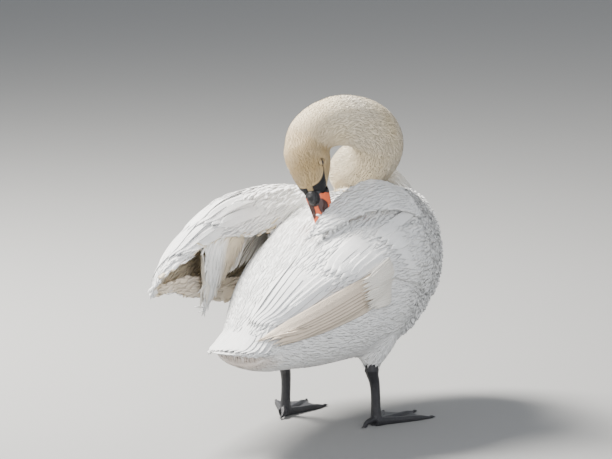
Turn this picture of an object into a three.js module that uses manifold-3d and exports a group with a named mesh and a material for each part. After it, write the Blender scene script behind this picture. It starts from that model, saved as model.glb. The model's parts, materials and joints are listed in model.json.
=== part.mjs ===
// A life-size mute swan, standing and preening its back. The neck loops up and back over the shoulders, the
// bill is pushed under the lifted shoulder feathers of the right wing, and the left wing hangs loosely away
// from the body, open towards it. Millimetres. The bird faces +Y, its right side is +X, and +Z is up.
// Every body part is its own closed solid, and neighbours keep a thin gap.
import * as THREE from 'three';
import { mergeVertices } from 'three/addons/utils/BufferGeometryUtils.js';
import Module from 'manifold-3d';

const wasm = await Module();
wasm.setup();

// Driving dimensions.
const GAP = 0.5; // between neighbouring solids
const TRUNK_SIDES = 24;
const TRUNK_SQUARENESS = 2.15; // exponent of the trunk's sections, where 2 is an ellipse
const TRUNK_BACK = -335;
const TRUNK_FRONT = 300;
const NECK_SIDES = 18;
const NECK_STEPS = 9; // rings in each length of the neck
const HEAD_SIDES = 16;
const HEAD_CENTRE = point(-35, -29, 459);
const HEAD_FORWARD = point(0.368, -0.249, -0.896).normalize(); // from the skull towards the bill's tip
const CROWN_HINT = point(-0.025, -0.966, 0.258);
const EYE_RADIUS = 6.2;
const EYE_PLACE = { along: 33, aside: 28.8, above: 8 };
const KNOB = { along: 86, above: 11, length: 13, width: 10.5, height: 10.5 };
const LEG_X = 84; // from the midline to each foot
const LEG_Y = -2; // where each shank meets its foot
const ANKLE = { x: 81, y: -14, z: 99 };
const FOOT_TURN = 8; // degrees that each foot points outwards
const TOES = [
  { length: 103, turn: -25 },
  { length: 124, turn: 0 },
  { length: 113, turn: 25 },
];
const WEB_THICKNESS = 4;
const TOE_RADIUS = 6.5;

// Section tables. Each row is a place along the part and the section's sizes there.
// Trunk: y, height of the section's middle, half width, reach up, reach down.
const TRUNK = [
  [-335, 177, 46, 18, 24],
  [-310, 178, 57, 30, 36],
  [-265, 184, 70, 50, 54],
  [-220, 193, 88, 65, 68],
  [-140, 210, 117, 86, 96],
  [-60, 223, 137, 103, 115],
  [20, 235, 144, 119, 131],
  [100, 245, 136, 128, 138],
  [180, 255, 112, 120, 132],
  [235, 264, 84, 101, 110],
  [275, 270, 56, 74, 78],
  [292, 272, 34, 46, 48],
  [300, 272, 10, 14, 14],
];
// Tail: y, height of the middle, half width, half thickness.
const TAIL = [
  [-402, 187, 10, 2.5],
  [-386, 185, 28, 4],
  [-353, 182.5, 46, 8],
  [-315, 179.5, 56, 16],
  [-275, 178, 60, 22],
];
// Neck: the route of its middle from the breast to the skull, then its radius along the route.
const NECK_ROUTE = [
  point(0, 205, 262),
  point(-8, 237, 318),
  point(-26, 217, 362),
  point(-52, 178, 388),
  point(-2, 146, 411),
  point(31, 128, 447),
  point(31, 93, 484),
  point(4, 43, 502),
  point(-30, -2, 497),
  point(-38, -22, 468),
];
const NECK_RADIUS = [
  [0, 88],
  [0.1, 70],
  [0.2, 57],
  [0.32, 50],
  [0.45, 46.5],
  [0.6, 45],
  [0.8, 43.5],
  [1, 41],
];
const NECK_CUTS = [0, 0.36, 0.68, 1];
// Head: distance towards the bill, half width, reach to the crown, reach to the throat.
const HEAD = [
  [-37, 14, 13, 18],
  [-32, 26, 26, 34],
  [-14, 36.5, 36, 50],
  [10, 37, 36.5, 56],
  [30, 34.5, 33.5, 51],
  [48, 29.5, 27.5, 40],
  [62, 24.5, 22, 30],
  [74, 20.5, 16.5, 22],
  [82, 17, 11, 16],
];
// Upper bill: distance, half width, height of the ridge, height of the cutting edge.
const UPPER_BILL = [
  [60, 19, 17, -11],
  [76, 20.5, 16, -14],
  [90, 19.2, 12, -15],
  [106, 17.6, 6.5, -15.5],
  [124, 17, 1.5, -15.5],
  [142, 17.8, -3, -15],
  [153, 16.4, -6, -14.8],
  [160, 11, -9, -16],
  [163.5, 4.5, -11.5, -17.5],
];
// Lower bill: distance, half width, top edge, underside.
const LOWER_BILL = [
  [56, 15, -12, -29],
  [74, 18, -14.5, -28],
  [96, 16.8, -15.9, -25.5],
  [124, 15.6, -15.9, -22],
  [146, 15.2, -15.4, -20],
  [157, 8, -16, -19],
];
// Folded right wing, laid on the trunk: y, edge over the back and edge over the flank in degrees round the
// trunk's section, and how far it stands proud.
const RIGHT_WING = [
  [-330, 90, 50, 8],
  [-305, 92, 45, 12],
  [-250, 92, 42, 16],
  [-200, 92, 35, 17],
  [-150, 91, 28, 18],
  [-90, 90, 24, 19],
  [-20, 87, 11, 20],
  [60, 82, -8, 19],
  [130, 76, -18, 15],
  [190, 68, -14, 9],
  [240, 58, 0, 5],
];
const RIGHT_PRIMARIES = [
  [-345, 40, 27, 5],
  [-320, 50, 19, 8],
  [-268, 47, 8, 10],
  [-217, 42, 6, 12],
  [-154, 34, 3, 13],
  [-110, 31, 8, 12],
  [-72, 27, 16, 9],
];
// Loose left wing, a curved shell open towards the body: y, middle of the curve, its half width and half
// height, the lip's and the leading edge's angles in degrees, and the shell's thickness.
const LEFT_WING = [
  [-306, -171, 254, 6, 7, 56, 250, 4],
  [-284, -169, 264, 17, 22, 46, 252, 7],
  [-230, -168, 277, 31, 39, 32, 256, 9],
  [-180, -168, 284, 39, 54, 36, 259, 10],
  [-110, -168, 289, 44, 74, 24, 261, 11],
  [-40, -168, 292, 49, 86, 12, 262, 13],
  [50, -157, 292, 55, 87, 14, 262, 15],
  [120, -137, 288, 60, 85, 22, 262, 19],
  [180, -110, 283, 51, 73, 30, 262, 26],
  [222, -91, 276, 26, 44, 40, 258, 20],
];

function point(x, y, z) {
  return new THREE.Vector3(x, y, z);
}

function radians(degrees) {
  return THREE.MathUtils.degToRad(degrees);
}

// Smooth values between table rows, with no overshoot between one row and the next.
function between(rows) {
  const secant = (i, k) => (rows[i + 1][k] - rows[i][k]) / (rows[i + 1][0] - rows[i][0]);
  const slope = (i, k) => {
    if (i === 0) return secant(0, k);
    if (i === rows.length - 1) return secant(i - 1, k);
    const [before, after] = [secant(i - 1, k), secant(i, k)];
    return before * after <= 0 ? 0 : (2 * before * after) / (before + after);
  };
  return (place) => {
    let i = 0;
    while (i < rows.length - 2 && place > rows[i + 1][0]) i += 1;
    const span = rows[i + 1][0] - rows[i][0];
    const t = THREE.MathUtils.clamp((place - rows[i][0]) / span, 0, 1);
    const [t2, t3] = [t * t, t * t * t];
    return rows[i].slice(1).map((value, n) => {
      const k = n + 1;
      return (
        (2 * t3 - 3 * t2 + 1) * value +
        (t3 - 2 * t2 + t) * span * slope(i, k) +
        (3 * t2 - 2 * t3) * rows[i + 1][k] +
        (t3 - t2) * span * slope(i + 1, k)
      );
    });
  };
}

// Places from one end to the other, closer together near both ends, where bodies round off.
function places(from, to, count) {
  return Array.from({ length: count }, (_, i) => {
    const t = i / (count - 1);
    const eased = 0.5 - 0.5 * Math.cos(Math.PI * t);
    return from + (to - from) * (0.55 * t + 0.45 * eased);
  });
}

// A closed body through rings of points, all rings having the same number of points.
function loft(rings) {
  const sides = rings[0].length;
  const positions = rings.flat();
  const index = [];
  for (let ring = 0; ring < rings.length - 1; ring += 1) {
    for (let side = 0; side < sides; side += 1) {
      const a = ring * sides + side;
      const b = ring * sides + ((side + 1) % sides);
      index.push(a, b, b + sides, a, b + sides, a + sides);
    }
  }
  for (const ring of [0, rings.length - 1]) {
    const centre = rings[ring].reduce((sum, p) => sum.add(p), point(0, 0, 0)).divideScalar(sides);
    positions.push(centre);
    for (let side = 0; side < sides; side += 1) {
      const a = ring * sides + side;
      const b = ring * sides + ((side + 1) % sides);
      const cap = positions.length - 1;
      index.push(...(ring === 0 ? [cap, b, a] : [cap, a, b]));
    }
  }
  const geometry = new THREE.BufferGeometry().setFromPoints(positions);
  geometry.setIndex(index);
  return facingOut(geometry);
}

function signedVolume(geometry) {
  const at = geometry.attributes.position;
  const index = geometry.index.array;
  const [a, b, c] = [point(0, 0, 0), point(0, 0, 0), point(0, 0, 0)];
  let sum = 0;
  for (let i = 0; i < index.length; i += 3) {
    a.fromBufferAttribute(at, index[i]);
    b.fromBufferAttribute(at, index[i + 1]);
    c.fromBufferAttribute(at, index[i + 2]);
    sum += a.dot(b.cross(c)) / 6;
  }
  return sum;
}

function facingOut(geometry) {
  if (signedVolume(geometry) < 0) geometry.setIndex(Array.from(geometry.index.array).reverse());
  return geometry;
}

function merged(geometry) {
  const bare = new THREE.BufferGeometry().setAttribute('position', geometry.attributes.position.clone());
  bare.setIndex(geometry.index ? geometry.index.clone() : null);
  return mergeVertices(bare, 1e-3);
}

function solidOf(geometry) {
  const mesh = merged(geometry);
  return new wasm.Manifold(
    new wasm.Mesh({
      numProp: 3,
      vertProperties: new Float32Array(mesh.attributes.position.array),
      triVerts: new Uint32Array(mesh.index.array),
    }),
  );
}

function geometryOf(solid) {
  const bodies = solid.decompose().sort((a, b) => b.volume() - a.volume());
  const mesh = bodies[0].getMesh();
  const geometry = new THREE.BufferGeometry();
  geometry.setAttribute('position', new THREE.BufferAttribute(mesh.vertProperties, 3));
  geometry.setIndex(new THREE.BufferAttribute(mesh.triVerts, 1));
  return geometry;
}

// The same body with its surface moved out. Each point's direction weighs its faces by their corner angles.
function grown(geometry, by) {
  const mesh = merged(geometry);
  const at = mesh.attributes.position;
  const index = mesh.index.array;
  const pushes = Array.from({ length: at.count }, () => point(0, 0, 0));
  for (let i = 0; i < index.length; i += 3) {
    const corners = [0, 1, 2].map((k) => point(0, 0, 0).fromBufferAttribute(at, index[i + k]));
    const facing = new THREE.Triangle(...corners).getNormal(point(0, 0, 0));
    corners.forEach((corner, k) => {
      const one = corners[(k + 1) % 3].clone().sub(corner);
      const other = corners[(k + 2) % 3].clone().sub(corner);
      pushes[index[i + k]].addScaledVector(facing, one.angleTo(other));
    });
  }
  pushes.forEach((push, i) => {
    push.setLength(by);
    at.setXYZ(i, at.getX(i) + push.x, at.getY(i) + push.y, at.getZ(i) + push.z);
  });
  return mesh;
}

function cut(geometry, ...neighbours) {
  const left = neighbours.reduce((rest, other) => rest.subtract(solidOf(grown(other, GAP))), solidOf(geometry));
  return geometryOf(left);
}

function joined(...geometries) {
  return geometryOf(geometries.map(solidOf).reduce((sum, next) => sum.add(next)));
}

// Superellipse helper: keeps the sign and eases the size.
function rounded(value, power) {
  return Math.sign(value) * Math.abs(value) ** power;
}

// Trunk.
const trunkRow = between(TRUNK);

function onTrunk(y, degrees, proud = 0) {
  const [middle, half, up, down] = trunkRow(y);
  const power = 2 / TRUNK_SQUARENESS;
  const aside = rounded(Math.cos(radians(degrees)), power);
  const above = rounded(Math.sin(radians(degrees)), power);
  return point(aside * (half + proud), y, middle + above * ((above > 0 ? up : down) + proud));
}

function trunkBody() {
  const rings = places(TRUNK_BACK, TRUNK_FRONT, 20).map((y) =>
    Array.from({ length: TRUNK_SIDES }, (_, i) => onTrunk(y, (i / TRUNK_SIDES) * 360)),
  );
  return loft(rings);
}

function tailBody() {
  const row = between(TAIL);
  const sides = 14;
  const rings = places(TAIL[0][0], TAIL.at(-1)[0], 9).map((y) => {
    const [middle, half, thick] = row(y);
    return Array.from({ length: sides }, (_, i) => {
      const turn = (i / sides) * 2 * Math.PI;
      const aside = Math.cos(turn) * half;
      const droop = 0.0016 * aside * aside; // the fan is a low arch
      return point(aside, y, middle - droop + Math.sin(turn) * thick);
    });
  });
  return loft(rings);
}

// A tube along a curve, its radius a table of the share of the way along.
function tube(curve, radiusAt, from, to, steps, sides) {
  const samples = 240;
  const frames = curve.computeFrenetFrames(samples, false);
  const rings = Array.from({ length: steps + 1 }, (_, i) => {
    const t = from + ((to - from) * i) / steps;
    const centre = curve.getPointAt(t);
    const tangent = curve.getTangentAt(t);
    const hint = frames.normals[Math.round(t * samples)];
    const across = hint.clone().addScaledVector(tangent, -hint.dot(tangent)).normalize();
    const over = tangent.clone().cross(across);
    const [radius] = radiusAt(t);
    return Array.from({ length: sides }, (_, k) => {
      const turn = (k / sides) * 2 * Math.PI;
      return centre
        .clone()
        .addScaledVector(across, radius * Math.cos(turn))
        .addScaledVector(over, radius * Math.sin(turn));
    });
  });
  return loft(rings);
}

// A route with its tight corners eased, so that a thick tube can follow it.
function softened(route) {
  let line = new THREE.CatmullRomCurve3(route, false, 'centripetal').getSpacedPoints(40);
  for (let pass = 0; pass < 10; pass += 1) {
    line = line.map((p, i) => {
      if (i === 0 || i === line.length - 1) return p;
      return p.clone().multiplyScalar(0.5).addScaledVector(line[i - 1], 0.25).addScaledVector(line[i + 1], 0.25);
    });
  }
  return new THREE.CatmullRomCurve3(line, false, 'centripetal');
}

const neckCurve = softened(NECK_ROUTE);
neckCurve.arcLengthDivisions = 400;

function neckLength(n) {
  const slit = GAP / 2 / neckCurve.getLength();
  const from = NECK_CUTS[n] + (n > 0 ? slit : 0);
  const to = NECK_CUTS[n + 1] - (n < 2 ? slit : 0);
  return tube(neckCurve, between(NECK_RADIUS), from, to, NECK_STEPS, NECK_SIDES);
}

// Head and bill, built along the skull's own axes.
const headAside = HEAD_FORWARD.clone().cross(CROWN_HINT).normalize(); // to the bird's right
const headUp = headAside.clone().cross(HEAD_FORWARD).normalize();

function onHead(along, aside, above) {
  return HEAD_CENTRE.clone()
    .addScaledVector(HEAD_FORWARD, along)
    .addScaledVector(headAside, aside)
    .addScaledVector(headUp, above);
}

function headBody() {
  const row = between(HEAD);
  const rings = places(HEAD[0][0], HEAD.at(-1)[0], 12).map((along) => {
    const [half, crown, throat] = row(along);
    return Array.from({ length: HEAD_SIDES }, (_, i) => {
      const turn = (i / HEAD_SIDES) * 2 * Math.PI;
      const above = Math.sin(turn);
      return onHead(along, Math.cos(turn) * half, above * (above > 0 ? crown : throat));
    });
  });
  return loft(rings);
}

// One half of the bill: a section flat along the cutting edge and round on the other side.
function billBody(table, roundUp) {
  const row = between(table);
  const sides = 14;
  const rings = places(table[0][0], table.at(-1)[0], 10).map((along) => {
    const [half, top, bottom] = row(along);
    return Array.from({ length: sides }, (_, i) => {
      const turn = (i / sides) * 2 * Math.PI;
      const aside = rounded(Math.cos(turn), 0.8) * half;
      const swell = Math.sin(turn);
      const flatSide = roundUp ? swell < 0 : swell > 0;
      const base = roundUp ? bottom + 2.5 : top - 2.5;
      const reach = roundUp ? top - base : base - bottom;
      return onHead(along, aside, base + (flatSide ? 2.5 * rounded(swell, 0.5) : reach * swell));
    });
  });
  return loft(rings);
}

function ellipsoid(centre, size, axes, across = 12, around = 8) {
  const geometry = new THREE.SphereGeometry(1, across, around);
  const frame = new THREE.Matrix4().makeBasis(...axes.map((axis, i) => axis.clone().multiplyScalar(size[i])));
  geometry.applyMatrix4(frame.setPosition(centre));
  return facingOut(merged(geometry));
}

function knobBody() {
  return ellipsoid(onHead(KNOB.along, 0, KNOB.above), [KNOB.length, KNOB.width, KNOB.height], [
    HEAD_FORWARD,
    headAside,
    headUp,
  ]);
}

function eyeBody(side) {
  const centre = onHead(EYE_PLACE.along, side * EYE_PLACE.aside, EYE_PLACE.above);
  return ellipsoid(centre, [EYE_RADIUS, EYE_RADIUS, EYE_RADIUS], [HEAD_FORWARD, headAside, headUp]);
}

// A layer of folded feathers laid on the trunk.
function layer(table, rings, inward) {
  const row = between(table);
  const across = 11;
  const sections = places(table[0][0], table.at(-1)[0], rings).map((y) => {
    const [high, low, proud] = row(y);
    const outer = Array.from({ length: across }, (_, i) => {
      const share = i / (across - 1);
      const swell = 0.3 + 0.7 * Math.sin(Math.PI * share) ** 0.6; // thinner towards both edges
      return onTrunk(y, high + (low - high) * share, proud * swell);
    });
    const inner = Array.from({ length: 6 }, (_, i) => onTrunk(y, low + ((high - low) * i) / 5, -inward));
    return [...outer, ...inner];
  });
  return loft(sections);
}

// The loose wing: an open curve of feathers, thickest along the arm.
function leftWingBody() {
  const row = between(LEFT_WING);
  const across = 11;
  const sections = places(LEFT_WING[0][0], LEFT_WING.at(-1)[0], 16).map((y) => {
    const [cx, cz, half, tall, lip, edge, thick] = row(y);
    const onCurve = (share, depth) => {
      const turn = radians(lip + (edge - lip) * share);
      return point(cx + Math.cos(turn) * (half - depth), y, cz + Math.sin(turn) * (tall - depth));
    };
    const outer = Array.from({ length: across }, (_, i) => onCurve(i / (across - 1), 0));
    const inner = Array.from({ length: across }, (_, i) => {
      const share = 1 - i / (across - 1);
      return onCurve(share, thick * (0.25 + 0.75 * Math.sin(Math.PI * share) ** 0.7));
    });
    return [...outer, ...inner];
  });
  return loft(sections);
}

// A flat tapering body along a spine: half width and half thickness at each of its points.
function blade(spine, widths, thicknesses, acrossHint, steps, sides = 10) {
  const curve = new THREE.CatmullRomCurve3(spine, false, 'centripetal');
  const share = (values) => between(values.map((value, i) => [i / (values.length - 1), value]));
  const [widthAt, thicknessAt] = [share(widths), share(thicknesses)];
  const rings = Array.from({ length: steps + 1 }, (_, i) => {
    const t = i / steps;
    const tangent = curve.getTangent(t);
    const across = acrossHint.clone().addScaledVector(tangent, -acrossHint.dot(tangent)).normalize();
    const over = tangent.clone().cross(across);
    return Array.from({ length: sides }, (_, k) => {
      const turn = (k / sides) * 2 * Math.PI;
      return curve
        .getPoint(t)
        .addScaledVector(across, widthAt(t)[0] * Math.cos(turn))
        .addScaledVector(over, thicknessAt(t)[0] * Math.sin(turn));
    });
  });
  return loft(rings);
}

// Lifted shoulder feathers of the right wing, a pointed leaf over the back.
function rightScapulars() {
  const spine = [point(98, 96, 362), point(80, 45, 381), point(51, -10, 375), point(31, -70, 351), point(15, -122, 328)];
  return blade(spine, [44, 42, 31, 20, 3], [10, 8, 6, 4, 1.5], point(0.78, -0.33, -0.53), 10, 10);
}

function leftPrimaries() {
  const spine = [point(-160, 70, 212), point(-171, -50, 216), point(-173, -160, 239), point(-177, -262, 257)];
  return blade(spine, [17, 22, 20, 5], [4, 3.5, 3, 1.5], point(0, 0.15, 1), 8, 8);
}

// Long feathers that hang from the armpit inside the loose wing.
function leftAxillars() {
  const spine = [point(-139, -112, 322), point(-143, -118, 290), point(-153, -128, 246), point(-164, -141, 196)];
  return blade(spine, [70, 56, 30, 3], [4, 4, 3, 1.5], point(0.1, 1, 0.1), 8, 8);
}

// Legs.
function thighBody(side) {
  const route = [point(side * 62, 26, 192), point(side * 73, 6, 148), point(side * ANKLE.x, ANKLE.y, ANKLE.z)];
  return tube(new THREE.CatmullRomCurve3(route), between([[0, 60], [0.55, 42], [0.85, 24], [1, 14]]), 0, 1, 7, 12);
}

function shankBody(side) {
  const route = [
    point(side * ANKLE.x, ANKLE.y, ANKLE.z + 8),
    point(side * ANKLE.x, ANKLE.y, ANKLE.z - 4),
    point(side * (ANKLE.x + 1), ANKLE.y + 10, 70),
    point(side * LEG_X, LEG_Y, 8),
  ];
  const radius = between([[0, 9], [0.1, 12.5], [0.25, 9.5], [0.6, 8], [0.85, 8.5], [1, 10.5]]);
  return tube(new THREE.CatmullRomCurve3(route), radius, 0, 1, 9, 9);
}

function footBody(side) {
  const heading = (turn) => {
    const angle = radians(turn + FOOT_TURN);
    return point(side * Math.sin(angle), Math.cos(angle), 0);
  };
  const heel = point(side * LEG_X, LEG_Y - 6, 0);
  const toeParts = TOES.map(({ length, turn }) => {
    const along = heading(turn);
    const route = [0, 0.35, 0.7, 0.93, 1].map((share) =>
      heel
        .clone()
        .addScaledVector(along, share * length)
        .setZ([7.5, 5, 4.2, 3.6, 1.8][Math.round(share * 4 - 0.2)]),
    );
    const radius = between([[0, TOE_RADIUS + 3], [0.25, TOE_RADIUS], [0.8, TOE_RADIUS - 1.2], [0.9, 3.6], [1, 1.4]]);
    return tube(new THREE.CatmullRomCurve3(route), radius, 0, 1, 5, 7);
  });
  const hind = [heel.clone().setZ(12), heel.clone().add(point(side * -7, -14, 8)), heel.clone().add(point(side * -8, -25, 3.5))];
  toeParts.push(tube(new THREE.CatmullRomCurve3(hind), between([[0, 6], [0.7, 4.2], [1, 1.5]]), 0, 1, 4, 6));
  const tips = TOES.map(({ length, turn }) => heel.clone().addScaledVector(heading(turn), length * 0.93));
  const web = new THREE.Shape();
  web.moveTo(heel.x, heel.y);
  web.lineTo(tips[0].x, tips[0].y);
  for (const n of [1, 2]) {
    const dip = tips[n - 1].clone().add(tips[n]).multiplyScalar(0.5).lerp(heel, 0.16);
    web.quadraticCurveTo(dip.x, dip.y, tips[n].x, tips[n].y);
  }
  web.closePath();
  const sheet = new THREE.ExtrudeGeometry(web, { depth: WEB_THICKNESS, bevelEnabled: false, curveSegments: 4 });
  const whole = joined(facingOut(merged(sheet)), ...toeParts);
  const above = new THREE.BoxGeometry(600, 600, 60).translate(0, 0, 30);
  return geometryOf(solidOf(whole).intersect(solidOf(above)));
}

// The whole bodies, before they are cut back from one another.
const upperBill = billBody(UPPER_BILL, true);
const lowerBill = billBody(LOWER_BILL, false);
const eyes = { left: eyeBody(-1), right: eyeBody(1) };
const neckParts = [0, 1, 2].map(neckLength);
const trunk = trunkBody();
const tail = tailBody();
const head = headBody();
const rightWing = layer(RIGHT_WING, 13, 8);
const leftWing = leftWingBody();
const leftHand = leftPrimaries();
const shanks = { left: shankBody(-1), right: shankBody(1) };

const WHITE = { color: 0xf2f0ea, roughness: 0.75 };
const CREAM = { color: 0xe9dfc8, roughness: 0.75 };
const BUFF = { color: 0xd9c7b0, roughness: 0.7 };
const ORANGE = { color: 0xd9532a, roughness: 0.45 };
const BLACK = { color: 0x17161a, roughness: 0.5 };
const DARK_SKIN = { color: 0x2b2a2c, roughness: 0.55 };

const parts = [
  ['trunk', cut(trunk, upperBill, lowerBill), WHITE],
  ['tail', cut(tail, trunk), WHITE],
  ['neck_base', cut(neckParts[0], trunk), CREAM],
  ['neck_middle', cut(neckParts[1], trunk, neckParts[0]), CREAM],
  ['neck_upper', cut(neckParts[2], neckParts[1]), CREAM],
  ['head', cut(head, neckParts[2], eyes.left, eyes.right), CREAM],
  ['knob', cut(knobBody(), head, upperBill), BLACK],
  ['bill_upper', cut(upperBill, head), ORANGE],
  ['bill_lower', cut(lowerBill, upperBill, head), ORANGE],
  ['eye_left', eyes.left, BLACK],
  ['eye_right', eyes.right, BLACK],
  ['wing_right', cut(rightWing, trunk, neckParts[0], upperBill, lowerBill, tail), WHITE],
  ['wing_right_primaries', cut(layer(RIGHT_PRIMARIES, 9, 5), rightWing, trunk, tail), BUFF],
  ['wing_right_scapulars', cut(rightScapulars(), trunk, rightWing, upperBill, lowerBill), WHITE],
  ['wing_left', cut(leftWing, trunk, neckParts[0]), WHITE],
  ['wing_left_primaries', cut(leftHand, leftWing, trunk), BUFF],
  ['wing_left_axillars', cut(leftAxillars(), leftWing, leftHand), WHITE],
  ['thigh_left', cut(thighBody(-1), trunk, shanks.left), WHITE],
  ['thigh_right', cut(thighBody(1), trunk, shanks.right), WHITE],
  ['leg_left', shanks.left, DARK_SKIN],
  ['leg_right', shanks.right, DARK_SKIN],
  ['foot_left', cut(footBody(-1), shanks.left), DARK_SKIN],
  ['foot_right', cut(footBody(1), shanks.right), DARK_SKIN],
];

const swan = new THREE.Group();
for (const [name, geometry, look] of parts) {
  const mesh = new THREE.Mesh(geometry, new THREE.MeshStandardMaterial({ ...look, metalness: 0 }));
  mesh.name = name;
  swan.add(mesh);
}

// The frame's origin is on the floor, under the middle of the whole bird.
const bounds = new THREE.Box3().setFromObject(swan);
const middle = bounds.getCenter(point(0, 0, 0));
swan.position.set(-middle.x, -middle.y, -bounds.min.z);

export default swan;
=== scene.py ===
import contextlib
import functools
import itertools
import json
import math

import bpy
import numpy as np
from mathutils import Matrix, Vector
from mathutils.bvhtree import BVHTree
from mathutils.kdtree import KDTree

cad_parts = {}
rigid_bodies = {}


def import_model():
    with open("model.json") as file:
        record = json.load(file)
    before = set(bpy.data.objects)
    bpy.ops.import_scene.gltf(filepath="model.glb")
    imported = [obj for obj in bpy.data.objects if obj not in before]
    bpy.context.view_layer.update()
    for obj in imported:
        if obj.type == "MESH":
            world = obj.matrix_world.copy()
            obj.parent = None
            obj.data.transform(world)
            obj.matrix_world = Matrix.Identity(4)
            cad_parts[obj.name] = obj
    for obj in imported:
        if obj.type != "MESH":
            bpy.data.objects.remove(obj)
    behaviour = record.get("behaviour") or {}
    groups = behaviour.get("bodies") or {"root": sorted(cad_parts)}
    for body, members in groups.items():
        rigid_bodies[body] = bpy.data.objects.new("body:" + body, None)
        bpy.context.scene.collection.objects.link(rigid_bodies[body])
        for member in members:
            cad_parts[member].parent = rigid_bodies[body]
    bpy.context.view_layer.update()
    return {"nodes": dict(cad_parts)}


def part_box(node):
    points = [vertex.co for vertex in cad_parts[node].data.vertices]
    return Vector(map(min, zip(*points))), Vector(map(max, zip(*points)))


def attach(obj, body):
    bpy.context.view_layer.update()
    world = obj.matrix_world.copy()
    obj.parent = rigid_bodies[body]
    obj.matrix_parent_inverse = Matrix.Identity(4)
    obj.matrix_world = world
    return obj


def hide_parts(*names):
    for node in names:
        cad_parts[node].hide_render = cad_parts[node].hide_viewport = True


bl_info = {
    "name": "Preening swan",
    "version": (1, 0, 0),
    "blender": (4, 5, 0),
    "location": "3D View > Sidebar > Swan",
    "description": "Dresses the solid swan in skin, feathers, bill, eyes and feet",
    "category": "Object",
}

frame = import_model()

# Places on the bird are given in its own centimetres: x to its right, y the way it faces, z up from the
# floor, with x = 0 on its midline. TRUNK_FRONT is where the trunk node ends, and ties the two frames.
TRUNK_FRONT = 30.0
trunk_low, trunk_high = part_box("trunk")
ORIGIN = np.array([(trunk_low[0] + trunk_high[0]) / 2, trunk_high[1] - TRUNK_FRONT / 100, 0.0])

FLESH = {
    # node: depth of the coat over it, in metres
    "trunk": 0.0030, "tail": 0.0020,
    "neck_base": 0.0022, "neck_middle": 0.0014, "neck_upper": 0.0012, "head": 0.0008,
    "wing_right": 0.0020, "wing_right_scapulars": 0.0014, "wing_right_primaries": 0.0055,
    "wing_left": 0.0014, "wing_left_primaries": 0.0010, "wing_left_axillars": 0.0012,
    "thigh_left": 0.0026, "thigh_right": 0.0026,
}
NODES = list(FLESH)
NECK_NODES = ("neck_base", "neck_middle", "neck_upper")
NECK_ROUTE = [
    (0.0, 20.5, 26.2), (-0.5, 22.4, 29.5), (-1.4, 22.9, 33.1), (-3.0, 21.2, 36.2), (-4.1, 18.4, 38.4),
    (-2.2, 15.8, 40.3), (0.7, 14.1, 42.2), (2.7, 12.4, 44.9), (2.9, 9.8, 47.7), (1.7, 6.6, 49.4),
    (-0.3, 3.4, 50.0), (-2.4, 0.3, 49.3), (-3.8, -2.2, 46.8),
]

# The head, in centimetres along the skull, to its right and towards its crown.
HEAD_CENTRE = (-3.5, -2.9, 45.9)
HEAD_FORWARD = (0.368, -0.249, -0.896)
CROWN_HINT = (-0.025, -0.966, 0.258)
EYE_ALONG, EYE_ASIDE, EYE_ABOVE, EYE_RADIUS = 3.3, 2.88, 0.8, 0.62
KNOB_ALONG, KNOB_ABOVE = 8.6, 1.1
KNOB_HALF = (1.5, 1.15, 1.25)
NOSTRIL_ALONG = 10.6
NAIL_ALONG = 15.6
FOREHEAD_END, CHIN_END = 7.7, 6.9

SKIN_EASE = 3  # rounds of smoothing over the remeshed skin
SOCKET_DEPTH = 0.0020
BILL_GRAIN, LOWER_BILL_GRAIN, LEG_GRAIN = 0.0009, 0.0010, 0.0014

# An eye and its lids, in metres.
EYE_SINK = 0.0040
LID_THICKNESS = 0.0005
LID_OPENING, LID_REACH, LID_SHIFT = 0.0031, 0.0049, 0.0004
IRIS, PUPIL = (0.045, 0.022, 0.010), (0.003, 0.003, 0.003)

# The claws: the turn from straight ahead, the reach from the heel and the height of each.
FOOT_TURN = 8
CLAWS = ((-25, 10.3, 0.26), (0, 12.4, 0.26), (25, 11.3, 0.26), (188, 2.55, 0.34))
CLAW_RADIUS, CLAW_STRETCH = 0.26, 2.8
HEEL_X, HEEL_Y = 8.4, -0.8
SIDES = ((-1, "left"), (1, "right"))

# Lines that rows of long feathers are laid round: a y, x and z for each point of them.
TRUNK_AXIS = np.array(
    [[-33.5, 0, 17.7], [-22, 0, 19.3], [-6, 0, 22.3], [10, 0, 24.5], [18, 0, 25.5], [30, 0, 27.2]]
)
LEFT_WING_AXIS = np.array([
    [-30.6, -17.1, 25.4], [-23, -16.8, 27.7], [-11, -16.8, 28.9],
    [5, -15.7, 29.2], [12, -13.7, 28.8], [18, -11, 28.3],
])
TRUNK_REACH, LEFT_WING_REACH = 0.172, 0.14  # further out than any skin round the line, in metres
TAIL_TOP = "tail top"  # in the place of a line: the row lies on the tail
TAIL_ARCH = 0.032  # how fast the tail's top turns to the side, per cm
HOLLOW_SIDE, HOLLOW_FRONT, HOLLOW_REAR = -9, 12, -27.5  # the x and the ends of the loose wing's hollow
HOLLOW_X, HOLLOW_Z = -16.8, 28.6  # the loose wing's middle

# Half a vane's width along its length, and the ring of points round it: across it and out of it.
FEATHER_OUTLINE = np.array(
    [[0, 0.35], [0.2, 0.66], [0.45, 0.92], [0.68, 1.0], [0.86, 0.84], [0.95, 0.56], [1.0, 0.12]]
)
LANCE_OUTLINE = np.array([[0, 0.6], [0.35, 1.0], [0.7, 0.8], [1.0, 0.06]])
FLIGHT_OUTLINE = np.array(
    [[0, 0.55], [0.15, 0.9], [0.5, 1.0], [0.8, 0.95], [0.92, 0.74], [0.98, 0.42], [1.0, 0.10]]
)
THIN_RING = ((-1, 0), (0, 1), (1, 0))
FULL_RING = ((-1, 0), (0, 1), (1, 0), (0, -0.2))
FLIGHT_RING = (
    (-1, 0), (-0.8, 0.42), (-0.5, 0.75), (-0.2, 0.93), (0, 1.3), (0.2, 0.93),
    (0.5, 0.75), (0.8, 0.42), (1, 0), (0.5, 0.3), (0, 0.15), (-0.5, 0.3),
)
ROOT_TRIES = 5  # places tried for every gap squared
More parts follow.
